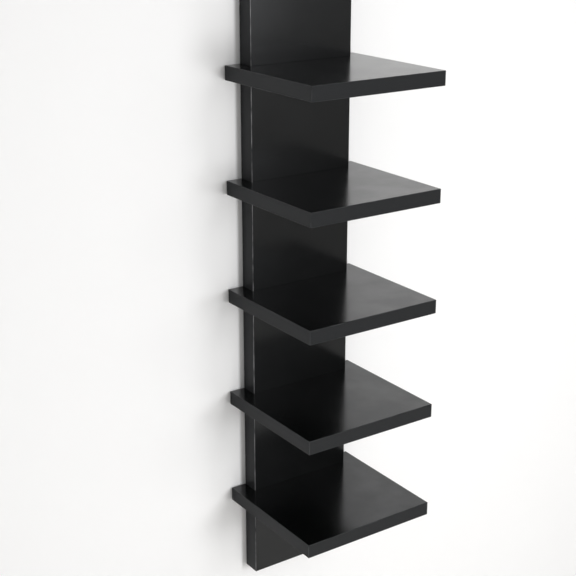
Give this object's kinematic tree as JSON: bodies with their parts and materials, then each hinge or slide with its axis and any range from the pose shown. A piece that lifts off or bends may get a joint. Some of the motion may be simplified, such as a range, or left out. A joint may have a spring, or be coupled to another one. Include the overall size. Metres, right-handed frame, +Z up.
{
  "type": "wall-hung column shelf",
  "caption": "Narrow wall-hung column shelf: square-edged shelves in satin black, clamped between the blocks of a flat spine, with keyhole hangers at the back.",
  "frame": {"origin": "middle of the four round keyhole openings, on the back face that lies against the wall", "axes": "+Z up, the front faces -Y, the wall is on the +Y side, +X along the wall to the right"},
  "size_m": [0.3, 0.28, 1.248],
  "materials": {
    "black_foil": "satin black foil on fibreboard",
    "black_edge_band": "satin black edge banding",
    "particleboard": "raw particleboard",
    "honeycomb_paper": "brown recycled paper",
    "plated_steel": "zinc plated",
    "birch_plywood": "plain birch plywood"
  },
  "bodies": {
    "root": {"hanger_plates": "plated_steel", "hanger_screws": "plated_steel", "joint_tongues": "birch_plywood", "shelf_1_bottom_skin": "black_foil", "shelf_1_edge_band": "black_edge_band", "shelf_1_frame": "particleboard", "shelf_1_top_skin": "black_foil", "shelf_2_bottom_skin": "black_foil", "shelf_2_edge_band": "black_edge_band", "shelf_2_frame": "particleboard", "shelf_2_top_skin": "black_foil", "shelf_3_bottom_skin": "black_foil", "shelf_3_edge_band": "black_edge_band", "shelf_3_frame": "particleboard", "shelf_3_top_skin": "black_foil", "shelf_4_bottom_skin": "black_foil", "shelf_4_edge_band": "black_edge_band", "shelf_4_frame": "particleboard", "shelf_4_top_skin": "black_foil", "shelf_5_bottom_skin": "black_foil", "shelf_5_edge_band": "black_edge_band", "shelf_5_frame": "particleboard", "shelf_5_top_skin": "black_foil", "shelf_fillings": "honeycomb_paper", "spine_1_2_back_skin": "black_foil", "spine_1_2_edge_bands": "black_edge_band", "spine_1_2_frame": "particleboard", "spine_1_2_front_skin": "black_foil", "spine_2_3_back_skin": "black_foil", "spine_2_3_edge_bands": "black_edge_band", "spine_2_3_frame": "particleboard", "spine_2_3_front_skin": "black_foil", "spine_3_4_back_skin": "black_foil", "spine_3_4_edge_bands": "black_edge_band", "spine_3_4_frame": "particleboard", "spine_3_4_front_skin": "black_foil", "spine_4_5_back_skin": "black_foil", "spine_4_5_edge_bands": "black_edge_band", "spine_4_5_frame": "particleboard", "spine_4_5_front_skin": "black_foil", "spine_bottom_back_skin": "black_foil", "spine_bottom_edge_bands": "black_edge_band", "spine_bottom_frame": "particleboard", "spine_bottom_front_skin": "black_foil", "spine_fillings": "honeycomb_paper", "spine_top_back_skin": "black_foil", "spine_top_edge_bands": "black_edge_band", "spine_top_frame": "particleboard", "spine_top_front_skin": "black_foil"}
  },
  "joints": []
}
